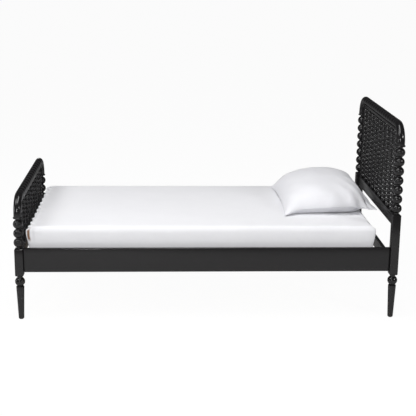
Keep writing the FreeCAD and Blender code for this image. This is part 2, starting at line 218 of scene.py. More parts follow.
def turned(name, outline, steps):
    """A closed turned piece about the Z axis from an outline of (radius, height)."""
    bpy.ops.mesh.primitive_plane_add(size=mm)
    piece = named(name)
    edit(piece)
    bpy.ops.mesh.merge(type="CENTER")
    bpy.ops.transform.translate(value=(outline[0][0], 0, outline[0][1]))
    for before, after in zip(outline, outline[1:]):
        step = (after[0] - before[0], 0, after[1] - before[1])
        bpy.ops.mesh.extrude_vertices_move(TRANSFORM_OT_translate={"value": step})
    bpy.ops.mesh.select_all(action="SELECT")
    bpy.ops.mesh.spin(steps=steps, angle=2 * math.pi, center=(0, 0, 0), axis=(0, 0, 1))
    stop_editing()
    face_outwards(piece)
    return piece


def along(piece, direction, place):
    """Lay a piece that was turned about Z along another direction, at a place."""
    turn = Vector((0, 0, 1)).rotation_difference(Vector(direction)).to_matrix().to_4x4()
    piece.data.transform(Matrix.Translation(Vector(place)) @ turn)
    return piece


# %% Helpers: saw a board, ease its edges, cut and drill
def box_between(name, low, high):
    low, high = Vector(low), Vector(high)
    bpy.ops.mesh.primitive_cube_add(size=1, location=(low + high) / 2, scale=high - low)
    return named(name)


def ease(piece, width, segments, sharper_than=30):
    """Round the edges that are sharper than an angle."""
    bevel = piece.modifiers.new("eased edges", "BEVEL")
    bevel.width = width
    bevel.segments = segments
    bevel.limit_method = "ANGLE"
    bevel.angle_limit = math.radians(sharper_than)
    apply_modifiers(piece)


def board(name, low, high, edge, segments=3):
    piece = box_between(name, low, high)
    ease(piece, edge, segments)
    smooth(piece)
    return piece


def cut(piece, tools):
    """Take the shapes of the tools out of a piece, and clear the tools away."""
    for tool in tools:
        modifier = piece.modifiers.new("cut", "BOOLEAN")
        modifier.operation = "DIFFERENCE"
        modifier.solver = "EXACT"
        modifier.object = tool
        apply_modifiers(piece)
        bpy.data.objects.remove(tool)


def drill(diameter, base, direction, depth, sides=32):
    """A drill's shape, from a base point along a direction."""
    turn = Vector((0, 0, 1)).rotation_difference(Vector(direction)).to_euler()
    place = Vector(base) + Vector(direction) * depth / 2
    bpy.ops.mesh.primitive_cylinder_add(
        vertices=sides, radius=diameter / 2, depth=depth, location=place, rotation=turn
    )
    return named("drill")


# %% [markdown]
# ## Posts
#
# Each post is one length of wood. The foot is a slim cone, then come a neck, one
# ball, and a long square block with its corners planed off, where the rails are
# fixed. Above the block the post is turned again, into a row of touching balls.
# The turned parts are spun, the block is sawn, and the three are joined.

# %% Outline of the leg
glide_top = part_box("headboard_post_left")[0].z
foot_top = 188 * mm
foot_radius = 21.75 * mm
tip_radius = 13.5 * mm
neck_radius = 14.5 * mm
neck_length = 4 * mm
leg_ball = 54 * mm
into_block = 6 * mm

leg_ball_height = foot_top + neck_length + math.sqrt(leg_ball**2 - 4 * neck_radius**2) / 2
leg_outline = [
    (0, glide_top),
    (tip_radius, glide_top),
    (tip_radius + 1.5 * mm, glide_top + 1.5 * mm),
    (foot_radius, foot_top - 3 * mm),
    (foot_radius - 0.55 * mm, foot_top - 1 * mm),
    (foot_radius - 2.25 * mm, foot_top),
    (neck_radius, foot_top + 0.4 * mm),
    *ball_outline(leg_ball_height, leg_ball, 2 * neck_radius),
    (neck_radius, block_bottom + into_block),
    (0, block_bottom + into_block),
]
print("leg ball at", round(leg_ball_height, 4))

# %% Outline of the row of balls
ball_counts = {"headboard": 7, "footboard": 3}
ball = 53 * mm
ball_waist = 24 * mm
ball_pitch = math.sqrt(ball**2 - ball_waist**2) + 4.25 * mm
first_ball = 5.5 * mm + ball / 2
collar_gap = 4.5 * mm
into_collar = 4 * mm
ball_heights = {
    end: [block_tops[end] + first_ball + index * ball_pitch for index in range(ball_counts[end])]
    for end in ends
}
collar_heights = {end: ball_heights[end][-1] + ball / 2 + collar_gap for end in ends}


def row_outline(end):
    bottom = block_tops[end] - into_block
    top = collar_heights[end] + into_collar
    outline = [(0, bottom), (ball_waist / 2, bottom)]
    for height in ball_heights[end]:
        outline += ball_outline(height, ball, ball_waist)
    return outline + [(ball_waist / 2, top), (0, top)]


print("collars at", collar_heights)

# %% Block of a post, with the bolt recesses in its outer face
planed_corner = 10.5 * mm
planed_end = 4 * mm
recess_depth = 7 * mm
recess_diameter = 14 * mm
drill_start = 0.5 * mm


def bevel_uprights(piece, width, segments):
    """Bevel the upright edges of a box. Gives the mesh, still open for editing."""
    edit(piece)
    mesh = bmesh.from_edit_mesh(piece.data)
    for edge in mesh.edges:
        one, other = edge.verts
        edge.select = abs(one.co.z - other.co.z) > 100 * mm
    bpy.ops.mesh.bevel(offset=width, segments=segments, affect="EDGES")
    return bmesh.from_edit_mesh(piece.data)


def block(end, outward):
    x = ends[end]
    low = (x - block_half, post_y - block_half, block_bottom)
    high = (x + block_half, post_y + block_half, block_tops[end])
    piece = box_between("block", low, high)
    mesh = bevel_uprights(piece, planed_corner, 1)
    for face in mesh.faces:
        face.select = abs(face.normal.z) > 0.9
    bmesh.update_edit_mesh(piece.data)
    bpy.ops.mesh.bevel(offset=planed_end, segments=1, affect="EDGES")
    stop_editing()
    ease(piece, 1.2 * mm, 2, 20)
    start = x + outward * (block_half + drill_start)
    cut(piece, [
        drill(recess_diameter, (start, rail_y, z), (-outward, 0, 0), recess_depth)
        for z in bolt_heights
    ])
    return piece


# %% Four posts
for end, outward in (("headboard", 1), ("footboard", -1)):
    leg = turned("leg", leg_outline, 48)
    row = turned("row", row_outline(end), 48)
    for piece in (leg, row):
        along(piece, (0, 0, 1), (ends[end], post_y, 0))
    post = joined([leg, row, block(end, outward)], end + "_post_left_turned")
    paint_both_sides(post, end + "_post_left", 32)
print("posts:", {name: len(piece.data.polygons) for name, piece in painted.items()})

# %% [markdown]
# ## Elbows
#
# At the top of each post a bent piece leads the row of balls over to the top rail.
# It is a round rod with a quarter bend, and a small collar at its foot. A disc is
# extruded up for the straight leg, and then spun a quarter turn about the centre
# of the bend. The collar is a half-round lip, turned like a ball.

# %% Elbows
bend_radius = 90 * mm
elbow_radius = 21.5 * mm
lip_radius = 4.5 * mm
lip_inset = 0.5 * mm
rail_heights = {end: middle(end + "_top_rail", 2) for end in ends}


def bent(piece, end, bottom):
    """Extrude a flat piece up to the bend, then spin it a quarter turn."""
    bend_z = rail_heights[end] - bend_radius
    centre = (ends[end], post_y - bend_radius, bend_z)
    edit(piece)
    bpy.ops.mesh.extrude_region_move(TRANSFORM_OT_translate={"value": (0, 0, bend_z - bottom)})
    bpy.ops.mesh.spin(steps=24, angle=-math.pi / 2, center=centre, axis=(1, 0, 0))
    stop_editing()
    face_outwards(piece)
    return piece


for end, x in ends.items():
    collar_low = collar_heights[end]
    lip_height = collar_low + lip_radius
    bpy.ops.mesh.primitive_circle_add(
        vertices=40, radius=elbow_radius, fill_type="NGON", location=(x, post_y, lip_height)
    )
    bend = bent(named("bend"), end, lip_height)
    lip = arc((elbow_radius - lip_inset, lip_height), lip_radius, -math.pi / 2, math.pi / 2, 10)
    outline = [(0, collar_low), *lip, (0, collar_low + 2 * lip_radius)]
    collar = along(turned("collar", outline, 48), (0, 0, 1), (x, post_y, 0))
    elbow = joined([bend, collar], end + "_elbow_left_bent")
    ease(elbow, 0.8 * mm, 2, 60)
    paint_both_sides(elbow, end + "_elbow_left", 40)
print("elbows bend", bend_radius, "below", rail_heights)

# %% [markdown]
# ## Top rails
#
# Between the elbows runs a rod turned into flat, touching reels. Each reel is a
# shallow barrel with a V groove on either side. One outline holds all of them. It
# is spun upright and then laid on its side.

# %% Top rails
reel_count = 16
reel_radius = 22 * mm
reel_waist_radius = 15.5 * mm
reel_steps = 10
rail_half = post_y - bend_radius - 0.2 * mm
reel_pitch = 2 * rail_half / reel_count


def reel_outline():
    outline = [(0, -rail_half)]
    for reel in range(reel_count):
        centre = -rail_half + reel_pitch * (reel + 0.5)
        for index in range(0 if reel == 0 else 1, reel_steps + 1):
            across = 2 * index / reel_steps - 1
            bulge = (reel_radius - reel_waist_radius) * math.sqrt(max(1 - across**2, 0))
            outline.append((reel_waist_radius + bulge, centre + across * reel_pitch / 2))
    return outline + [(0, rail_half)]


for end, x in ends.items():
    top_rail = turned(end + "_top_rail_turned", reel_outline(), 40)
    along(top_rail, (0, 1, 0), (x, 0, rail_heights[end]))
    smooth(top_rail, 50)
    painted[end + "_top_rail"] = top_rail
print("top rails:", reel_count, "reels each,", round(reel_pitch, 4), "apart")

# %% [markdown]
# ## Strips inside the arch
#
# A flat strip lines the inside of each elbow and top rail, and the spindles end in
# it. The straight strips are boards. The corner strips are made as the elbows are:
# a small rectangle is extruded and spun about the same centre.

# %% Straight and corner strips
strip_near = 22.3 * mm
strip_far = 37.3 * mm
strip_width = 24 * mm
strip_edge = 1.6 * mm

for end, x in ends.items():
    strip = end + "_top_strip"
    painted[strip] = board(strip + "_eased", *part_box(strip), strip_edge)
    corner_name = end + "_corner_strip_left"
    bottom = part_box(corner_name)[0].z
    bpy.ops.mesh.primitive_plane_add(size=1)
    corner = bpy.context.active_object
    corner.location = (x, post_y - (strip_near + strip_far) / 2, bottom)
    corner.scale = (strip_width, strip_far - strip_near, 1)
    corner = bent(named(corner_name + "_bent"), end, bottom)
    ease(corner, strip_edge, 3, 50)
    paint_both_sides(corner, corner_name, 40)
print("strips stand", strip_near, "inside the rail's centre line")

# %% [markdown]
# ## Spindles
#
# The spindles are strings of beads that start on the panel rail and end in a short
# plain neck under the strip. A bead's outline is an arc between two waists. One
# spindle is turned for each end of the bed and copied along the rail. The beads
# have few faces, since there are more than two hundred of them.

# %% Spindles
spindle_count = 9
bead_radius = 15 * mm
bead_waist_radius = 9.75 * mm
bead_pitch = 25.9 * mm
into_rail = 4 * mm


def spindle_outline(low, high):
    """A neck, a string of beads that bulge from waist to waist, and a neck."""
    bulge = bead_radius - bead_waist_radius
    curve = (bulge**2 + (bead_pitch / 2) ** 2) / (2 * bulge)
    reach = math.asin(bead_pitch / 2 / curve)
    outline = [(0, low - into_rail), (bead_waist_radius, low - into_rail)]
    for index in range(int((high - low) / bead_pitch)):
        height = low + bead_pitch * (index + 0.5)
        outline += arc((bead_radius - curve, height), curve, -reach, reach, 6)
    return outline + [(bead_waist_radius, high + into_rail), (0, high + into_rail)]


for end, x in ends.items():
    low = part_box(end + "_panel_rail")[1].z
    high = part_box(end + "_top_strip")[0].z
    pattern = turned("spindle pattern", spindle_outline(low, high), 20)
    smooth(pattern, 32)
    for index in range(1, spindle_count + 1):
        spindle = "%s_spindle_%02d" % (end, index)
        painted[spindle] = copied(pattern, spindle + "_turned", (x, middle(spindle, 1), 0))
    bpy.data.objects.remove(pattern)
    print(end, "spindles of", int((high - low) / bead_pitch), "beads")

# %% [markdown]
# ## Boards and side rails
#
# The panel rails, the headboard's lower rail and the two side rails are sawn boards
# with eased edges. Each end of a side rail has two cross holes for barrel nuts.

# %% Boards and side rails
board_edge = 2.5 * mm
nut_radius = 6 * mm
nut_length = 16 * mm
nut_hole_diameter = 12.5 * mm

for rail in ("headboard_panel_rail", "footboard_panel_rail", "headboard_lower_rail"):
    low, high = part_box(rail)
    high.y = post_y - block_half
    low.y = -high.y
    painted[rail] = board(rail + "_eased", low, high, board_edge)

nut_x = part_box("rail_barrel_nuts")[1].x - nut_radius
side_rail = board("side_rail_left_eased", rail_low, rail_high, board_edge)
cut(side_rail, [
    drill(nut_hole_diameter, (x, rail_low.y - 1 * mm, z), (0, 1, 0), nut_length + 1.5 * mm)
    for x in (-nut_x, nut_x)
    for z in bolt_heights
])
paint_both_sides(side_rail, "side_rail_left", 35)
print("side rails", round(rail_high.z - rail_low.z, 3), "high, nuts at", round(nut_x, 3))

# %% [markdown]
# ## Slats, cleats and tapes
#
# Under the mattress lie plain slats on a cleat along each side rail. Two woven tapes
# keep them apart, and sag a little between them. The tapes are narrow grids whose
# points are let down from slat to slat, and Solidify gives them thickness.

# %% Slats and cleats
bare = {}
for cleat in ("slat_cleat_left", "slat_cleat_right"):
    bare[cleat] = board(cleat + "_eased", *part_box(cleat), 1.5 * mm, 2)
slat_pattern = board("slat pattern", *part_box("slat_01"), 2 * mm, 2)
first_slat = middle("slat_01", 0)
slat_pitch = middle("slat_02", 0) - first_slat
for index in range(1, 13):
    slat = "slat_%02d" % index
    bare[slat] = copied(slat_pattern, slat + "_eased", (middle(slat, 0) - first_slat, 0, 0))
bpy.data.objects.remove(slat_pattern)
print("slats", round(slat_pitch, 4), "apart")

# %% Tapes
tape_low, tape_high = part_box("slat_tapes")
tape_width = 30 * mm
tape_sag = 5 * mm
tape_y = tape_high.y - tape_width / 2
slat_half = 35 * mm


def solid(piece, thickness, offset):
    thick = piece.modifiers.new("thickness", "SOLIDIFY")
    thick.thickness = thickness
    thick.offset = offset
    apply_modifiers(piece)


def tape(y):
    bpy.ops.mesh.primitive_grid_add(x_subdivisions=154, y_subdivisions=4, size=1)
    piece = bpy.context.active_object
    piece.scale = (tape_high.x - tape_low.x, tape_width, 1)
    piece.location = ((tape_low.x + tape_high.x) / 2, y, tape_low.z)
    named("tape")
    for point in piece.data.vertices:
        from_slat = (point.co.x - first_slat) % slat_pitch
        open_share = (from_slat - slat_half) / (slat_pitch - 2 * slat_half)
        if 0 < open_share < 1:
            point.co.z -= tape_sag * math.sin(math.pi * open_share) ** 2
    solid(piece, 1 * mm, 1)
    smooth(piece)
    return piece


tapes = joined([tape(-tape_y), tape(tape_y)], "slat_tapes_woven")
print("tapes at", round(tape_y, 3), "from the middle")

# %% [markdown]
# ## Bolts, nuts, plugs and glides
#
# Small round fittings: button-head bolts with a hexagon socket in their recesses,
# slotted barrel nuts in the side rails, two domed plugs over spare holes in each
# headboard post, and a plastic glide under each foot.

# %% Small fittings
def in_mm(outline):
    return [(radius * mm, height * mm) for radius, height in outline]


def bolt():
    shank = [(0, -10), (4, -10), (4, 0)]
    head = [(6.3, 0), (6.5, 0.4), (6.3, 2.4), (5.2, 4.2), (3.6, 5), (0, 5)]
    piece = turned("bolt", in_mm(shank + head), 32)
    cut(piece, [drill(5.6 * mm, (0, 0, 2 * mm), (0, 0, 1), 6 * mm, 6)])
    return piece


def barrel_nut():
    outline = [(0, 0), (5.4, 0), (6, 0.6), (6, 15.4), (5.4, 16), (0, 16)]
    piece = turned("nut", in_mm(outline), 32)
    slot = Vector((4, 0.8, 1.2)) * mm
    cut(piece, [box_between("slot", -slot, slot)])
    return piece


def plug():
    angles = [math.pi / 16 * index for index in range(1, 9)]
    dome = [(6.5 * math.cos(angle), 0.4 + 3.1 * math.sin(angle)) for angle in angles]
    return turned("plug", in_mm([(0, 0), (6.3, 0), (6.5, 0.4), *dome]), 32)


def glide():
    top = glide_top / mm
    return turned("glide", in_mm([(0, 0), (11, 0), (12, 1), (12, top), (0, top)]), 40)


# %% Put the fittings in place
plug_above_rail = 28 * mm
signs = (-1, 1)
corners = [(x, y) for x in signs for y in signs]
plug_heights = [rail_high.z + plug_above_rail + step for step in (0, bolt_spacing)]
bolt_x = outer_face - recess_depth


def fittings_at(name, make, places):
    """Make a fitting for each direction and place, and join them."""
    piece = joined([along(make(), direction, place) for direction, place in places], name)
    smooth(piece, 30)
    return piece


glides = fittings_at("floor_glides_turned", glide, [
    ((0, 0, 1), (x * ends["headboard"], y * post_y, 0)) for x, y in corners
])
bolts = fittings_at("rail_bolts_turned", bolt, [
    ((x, 0, 0), (x * bolt_x, y * rail_y, z)) for x, y in corners for z in bolt_heights
])
nuts = fittings_at("rail_barrel_nuts_turned", barrel_nut, [
    ((0, y, 0), (x * nut_x, y * rail_low.y, z)) for x, y in corners for z in bolt_heights
])
plugs = fittings_at("headboard_hole_plugs_domed", plug, [
    ((1, 0, 0), (outer_face, y * rail_y, z)) for y in signs for z in plug_heights
])
print("fittings:", {piece.name: len(piece.data.polygons) for piece in (bolts, nuts, plugs, glides)})

# %% [markdown]
# ## Shared shader groups
#
# Several finishes need the same effects, so each effect is a node group, built
# once. A group only puts out masks and heights. The shader stays in the material,
# where it is easy to adjust.

# %% Helpers for shader nodes
def feed(tree, inputs, values):
    """Give inputs their values: sockets are linked, colours and numbers are set."""
    for key, value in values.items():
        if isinstance(value, bpy.types.NodeSocket):
            tree.links.new(value, inputs[key])
        else:
            inputs[key].default_value = value


def node(tree, kind, values, **settings):
    """Add a shader node, set it up, and give its outputs."""
    made = tree.nodes.new("ShaderNode" + kind)
    for key, value in settings.items():
        setattr(made, key, value)
    feed(tree, made.inputs, values)
    return made.outputs


def combined(tree, operation, first, second):
    return node(tree, "Math", {0: first, 1: second}, operation=operation)[0]


def weighed(tree, first, first_weight, second, second_weight=1.0):
    """The sum of two masks, each times its weight."""
    first = combined(tree, "MULTIPLY", first, first_weight)
    return combined(tree, "ADD", first, combined(tree, "MULTIPLY", second, second_weight))


def stretched(tree, vector, scale):
    """Stretch a pattern, with a scale for each axis."""
    return node(tree, "Mapping", {"Vector": vector, "Scale": scale})["Vector"]


def noise(tree, vector, scale, detail, roughness=0.5):
    values = {"Vector": vector, "Scale": scale, "Detail": detail, "Roughness": roughness}
    return node(tree, "TexNoise", values)["Fac"]


def new_group(name, outputs, **numbers):
    """A group of a vector and some numbers. Gives its tree, inputs and outputs."""
    tree = bpy.data.node_groups.new(name, "ShaderNodeTree")
    add = tree.interface.new_socket
    add(name="Vector", in_out="INPUT", socket_type="NodeSocketVector")
    for key, value in numbers.items():
        socket = add(name=key.replace("_", " "), in_out="INPUT", socket_type="NodeSocketFloat")
        socket.default_value = value
    for label in outputs:
        add(name=label, in_out="OUTPUT", socket_type="NodeSocketFloat")
    given = tree.nodes.new("NodeGroupInput").outputs
    return tree, given, tree.nodes.new("NodeGroupOutput").inputs


# %% Group: unevenness of a sprayed or moulded surface
uneven, given, results = new_group(
    "uneven surface", ["Patches", "Grit"], Patch_Scale=6.0, Grit_Scale=900.0
)
feed(uneven, results, {
    "Patches": noise(uneven, given["Vector"], given["Patch Scale"], 3.0),
    "Grit": noise(uneven, given["Vector"], given["Grit Scale"], 1.0),
})

# %% Group: edges rubbed by use
rubbed, given, results = new_group("rubbed edges", ["Mask"], Start=0.52, End=0.62)
pointiness = node(rubbed, "NewGeometry", {})["Pointiness"]
edge_values = {"Value": pointiness, "From Min": given["Start"], "From Max": given["End"]}
edge_range = node(rubbed, "MapRange", edge_values)["Result"]
scuffs = noise(rubbed, given["Vector"], 60.0, 3.0)
feed(rubbed, results, {"Mask": combined(rubbed, "MULTIPLY", edge_range, scuffs)})

# %% Group: wood grain
grain, given, results = new_group(
    "wood grain", ["Rings", "Fibres"], Ring_Scale=14.0, Fibre_Scale=180.0
)
warp = combined(grain, "MULTIPLY", noise(grain, given["Vector"], 3.0, 2.0), 0.08)
warped = node(grain, "VectorMath", {0: given["Vector"], 1: warp}, operation="ADD")[0]
feed(grain, results, {
    "Rings": noise(grain, warped, given["Ring Scale"], 4.0, 0.6),
    "Fibres": noise(grain, warped, given["Fibre Scale"], 2.0),
})

# %% Group: woven cloth
weave, given, results = new_group(
    "woven cloth", ["Threads", "Crumples", "Slubs"], Threads=900.0, Crumple_Scale=9.0
)
thread_values = {"Distortion": 0.4, "Vector": given["Vector"], "Scale": given["Threads"]}
across, down, upright = [
    node(weave, "TexWave", thread_values, wave_type="BANDS", bands_direction=direction)["Fac"]
    for direction in "XYZ"
]
crossing = combined(weave, "ADD", combined(weave, "ADD", across, down), upright)
feed(weave, results, {
    "Threads": combined(weave, "MULTIPLY", crossing, 0.333),
    "Crumples": noise(weave, given["Vector"], given["Crumple Scale"], 4.0, 0.55),
    "Slubs": noise(weave, stretched(weave, given["Vector"], (1, 14, 1)), 40.0, 2.0),
})
print("groups:", [tree.name for tree in bpy.data.node_groups])

# %% [markdown]
# ## Finishes
#
# The frame is sprayed satin black. It has a faint grain under it, slow changes of
# gloss, and slightly rubbed edges. The slats are bare wood. The sheet and the
# pillowcase are white cotton with a fine weave.

# %% Helpers: a material, its masks, colours and bumps
def new_material(name):
    """Gives a new material, its tree, its shader's inputs and the position."""
    material = bpy.data.materials.new(name)
    material.use_nodes = True
    tree = material.node_tree
    position = node(tree, "TexCoord", {})["Object"]
    return material, tree, tree.nodes["Principled BSDF"].inputs, position


def use_group(tree, group, vector, **numbers):
    values = {key.replace("_", " "): value for key, value in numbers.items()}
    return node(tree, "Group", {"Vector": vector, **values}, node_tree=group)


def blend(tree, mask, first, second, blend_type="MIX"):
    """Blend two colours, each of them a socket or three numbers."""
    values = {"Factor": mask}
    for key, colour in (("A", first), ("B", second)):
        values[key] = (*colour, 1) if isinstance(colour, tuple) else colour
    return node(tree, "Mix", values, data_type="RGBA", blend_type=blend_type)["Result"]


def ranged(tree, value, low, high):
    """Map a mask of 0 to 1 onto a smaller range."""
    return node(tree, "MapRange", {"Value": value, "To Min": low, "To Max": high})["Result"]


def bump(tree, height, distance, strength=1.0):
    values = {"Distance": distance, "Strength": strength, "Height": height}
    return node(tree, "Bump", values)["Normal"]


# %% Satin black paint
def black_paint(name, grain_stretch):
    """Black paint over wood whose grain runs where the stretch is small."""
    material, tree, shader, position = new_material(name)
    surface = use_group(tree, uneven, position, Patch_Scale=7.0, Grit_Scale=700.0)
    along_grain = stretched(tree, position, grain_stretch)
    wood = use_group(tree, grain, along_grain, Ring_Scale=22.0, Fibre_Scale=160.0)
    edges = use_group(tree, rubbed, position, Start=0.53, End=0.66)
    patches = surface["Patches"]
    base = blend(tree, patches, (0.0030, 0.0026, 0.0030), (0.0052, 0.0046, 0.0054))
    relief = bump(tree, weighed(tree, wood["Fibres"], 0.6, surface["Grit"]), 0.06 * mm, 0.5)
    feed(tree, shader, {
        "Base Color": blend(tree, edges["Mask"], base, (0.020, 0.018, 0.018)),
        "Roughness": ranged(tree, patches, 0.45, 0.60),
        "Specular IOR Level": 0.05,
        "Coat Roughness": ranged(tree, patches, 0.13, 0.20),
        "Coat Weight": 0.31,
        "Coat IOR": 1.9,
        "Normal": relief,
        "Coat Normal": relief,
    })
    return material


upright_paint = black_paint("satin black, grain upright", (1.0, 1.0, 0.05))
crosswise_paint = black_paint("satin black, grain across the bed", (1.0, 0.05, 1.0))
lengthwise_paint = black_paint("satin black, grain along the bed", (0.05, 1.0, 1.0))

# %% Bare wood
bare_wood, tree, shader, position = new_material("planed softwood")
along_grain = stretched(tree, position, (1.0, 0.06, 1.0))
wood = use_group(tree, grain, along_grain, Ring_Scale=26.0, Fibre_Scale=220.0)
ring_colour = blend(tree, wood["Rings"], (0.38, 0.23, 0.11), (0.72, 0.52, 0.31))
fibre_colour = blend(tree, wood["Fibres"], (0.75, 0.70, 0.62), (1, 1, 1))
feed(tree, shader, {
    "Base Color": blend(tree, 0.5, ring_colour, fibre_colour, "MULTIPLY"),
    "Roughness": ranged(tree, wood["Fibres"], 0.5, 0.7),
    "Normal": bump(tree, wood["Fibres"], 0.2 * mm),
})


# %% Metal and plastic fittings
def plain_finish(name, dark, light, rough, metallic, grit_size):
    material, tree, shader, position = new_material(name)
    surface = use_group(tree, uneven, position, Patch_Scale=30.0, Grit_Scale=grit_size)
    feed(tree, shader, {
        "Base Color": blend(tree, surface["Patches"], dark, light),
        "Roughness": ranged(tree, surface["Patches"], *rough),
        "Metallic": metallic,
        "Normal": bump(tree, surface["Grit"], 0.03 * mm, 0.5),
    })
    return material


zinc = plain_finish(
    "zinc plated steel", (0.42, 0.42, 0.44), (0.62, 0.62, 0.64), (0.25, 0.45), 1.0, 1500.0
)
plug_plastic = plain_finish(
    "glossy black plug", (0.010, 0.010, 0.010), (0.016, 0.016, 0.017), (0.15, 0.28), 0.0, 900.0
)
glide_plastic = plain_finish(
    "matte glide", (0.03, 0.03, 0.03), (0.05, 0.05, 0.05), (0.6, 0.75), 0.0, 1200.0
)


# %% Cotton and woven tape
def cloth(name, dark, light, threads, crumple, thread_height, painted_shade=None):
    """Woven cloth. A painted shade colour darkens the piece where its mask marks a shaded fold."""
    material, tree, shader, position = new_material(name)
    maps = use_group(tree, weave, position, Threads=threads, Crumple_Scale=crumple)
    tone = weighed(tree, maps["Crumples"], 0.6, maps["Slubs"], 0.4)
    colour = blend(tree, tone, dark, light)
    if painted_shade:
        strip = node(tree, "Attribute", {}, attribute_name="painted fold shade")["Fac"]
        colour = blend(tree, strip, colour, painted_shade)
    heights = weighed(tree, maps["Threads"], thread_height, maps["Crumples"])
    feed(tree, shader, {
        "Base Color": colour,
        "Roughness": ranged(tree, maps["Slubs"], 0.78, 0.92),
        "Specular IOR Level": 0.15,
        "Sheen Weight": 0.06,
        "Sheen Roughness": 0.5,
        "Normal": bump(tree, heights, 3 * mm, 0.35),
    })
    return material


# The sheet's dark brown is painted shade, for the shaded inside of the fold at its near foot
# corner.
sheet_cotton = cloth(
    "white cotton sheet", (0.76, 0.76, 0.785), (0.83, 0.83, 0.85), 420.0, 7.0, 0.05,
    painted_shade=(0.20, 0.105, 0.055),
)
case_cotton = cloth(
    "white cotton pillowcase", (0.715, 0.715, 0.745), (0.785, 0.785, 0.81), 420.0, 11.0, 0.05
)
tape_cotton = cloth("woven tape", (0.42, 0.39, 0.33), (0.60, 0.57, 0.50), 300.0, 30.0, 0.25)
print("materials:", len(bpy.data.materials))

# %% [markdown]
# ## Mattress in its fitted sheet
#
# A mattress is a firm box with round edges and a slightly crowned top. The fitted
# sheet is pulled tight over it, and gathers where elastic draws it in along the
# foot end. The box is remeshed to even faces and blown up slightly with Blender's
# cloth, which gives the soft bulge of the sides. The gathers are then moved in
# point by point.

# %% Mattress block before it swells
mattress_low, mattress_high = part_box("mattress")
shrink = 5 * mm
crown = 5 * mm
lift = 0.3 * mm

mattress = box_between(
    "mattress_in_sheet",
    mattress_low + Vector((shrink, shrink, lift)),
    mattress_high - Vector((shrink, shrink, crown)),
)
mesh = bevel_uprights(mattress, 28 * mm, 5)
for edge in mesh.edges:
    edge.select = len({abs(face.normal.z) > 0.9 for face in edge.link_faces}) == 2
bpy.ops.mesh.bevel(offset=18 * mm, segments=4, affect="EDGES")
stop_editing()
face_outwards(mattress)
remesh = mattress.modifiers.new("even faces", "REMESH")
remesh.mode = "VOXEL"
remesh.voxel_size = 15 * mm
apply_modifiers(mattress)
print("mattress faces:", len(mattress.data.polygons))


# %% Swell a soft piece with cloth
def swell(piece, most, frames=20):
    """Blow a closed piece up, and let no point move farther than a limit."""
    before = [point.co.copy() for point in piece.data.vertices]
    modifier = piece.modifiers.new("swell", "CLOTH")
    settings = modifier.settings
    settings.quality = 6
    settings.use_pressure = True
    settings.uniform_pressure_force = 3.0
    settings.tension_stiffness = 15.0
    settings.compression_stiffness = 15.0
    settings.bending_stiffness = 0.5
    settings.effector_weights.gravity = 0
    modifier.point_cache.frame_start = 1
    modifier.point_cache.frame_end = frames
    for step in range(1, frames + 1):
        scene.frame_set(step)
    apply_modifiers(piece)
    scene.frame_set(1)
    for point, start in zip(piece.data.vertices, before):
        moved = point.co - start
        if moved.length > most:
            point.co = start + moved.normalized() * most


swell(mattress, 9 * mm)
print("mattress swollen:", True)

# %% Finer faces where the sheet is gathered
gather_reach = 95 * mm
corner_reach = 60 * mm


def is_worked(place):
    """True along the gathered foot edge and at all four corners."""
    from_end = min(place.x - mattress_low.x, mattress_high.x - place.x)
    at_foot = place.x < mattress_low.x + gather_reach and place.z > mattress_high.z - corner_reach
    return at_foot or from_end < corner_reach and abs(place.y) > mattress_high.y - corner_reach


def subdivided(piece, levels):
    subdivide = piece.modifiers.new("soft surface", "SUBSURF")
    subdivide.levels = levels
    apply_modifiers(piece)


choose(mattress)
bpy.ops.object.mode_set(mode="EDIT")
mesh = bmesh.from_edit_mesh(mattress.data)
for face in mesh.faces:
    face.select_set(is_worked(face.calc_center_median()))
bmesh.update_edit_mesh(mattress.data)
bpy.ops.mesh.subdivide(number_cuts=2, smoothness=0)
stop_editing()
subdivided(mattress, 1)
print("mattress faces after subdivision:", len(mattress.data.polygons))


# %% Crown and gathers of the sheet
def smooth_step(value):
    value = min(max(value, 0.0), 1.0)
    return value * value * (3 - 2 * value)


def hump(value, centre, half):
    """1 at the centre, falling to 0 at half a width on either side."""
    return 1 - smooth_step(abs(value - centre) / half)


crown_share = 0.9
top_band = 15 * mm
gather_pitch = 88 * mm
gather_slant = 1.1
roll_height = 11 * mm
roll_out = 9 * mm
groove_depth = 13 * mm
fold_depth = 3 * mm


def crowned(point):
    """Raise the middle of the top, and keep the bottom level."""
    across_x = 2 * (point.x - mattress_low.x) / (mattress_high.x - mattress_low.x) - 1
    across_y = point.y / mattress_high.y
    top = mattress_high.z - crown
    if point.z > top - top_band:
        dome = (1 - across_x**4) * (1 - across_y**4)
        point.z = min(point.z, top) + crown_share * crown * max(dome, 0)
    point.z = max(point.z, mattress_low.z + 0.1 * mm)
    return point


def gathered(point):
    """A puckered roll along the foot edge, a groove behind it and folds that run out."""
    upper = smooth_step((point.z - mattress_high.z + 50 * mm) / (25 * mm))
    inside = 1 - smooth_step((abs(point.y) - 440 * mm) / (40 * mm))
    from_edge = point.x - mattress_low.x
    place = point.y + gather_slant * from_edge + 9 * mm * math.sin(point.y * 17)
    pucker = 0.5 + 0.5 * math.sin(2 * math.pi * place / gather_pitch)
    roll = hump(from_edge, 10 * mm, 14 * mm) * pucker**1.6
    groove = hump(from_edge, 25 * mm, 11 * mm) * (0.15 + 0.85 * pucker)
    fold = hump(from_edge, 40 * mm, 34 * mm) * (1 - pucker) ** 4
    amount = upper * inside
    point.z += amount * (roll_height * roll - groove_depth * groove - fold_depth * fold)
    point.x -= amount * roll_out * roll
    return point


# %% Corner pockets of the sheet
pocket_width = 42 * mm
pocket_low = 395 * mm
pocket_rise = 80 * mm
measure_height = 480 * mm


def block_end(sign):
    """Where the block ends at its corners, high up."""
    near = [
        sign * point.co.x
        for point in mattress.data.vertices
        if abs(point.co.y) > 450 * mm and abs(point.co.z - measure_height) < 12 * mm
    ]
    return sign * max(near)


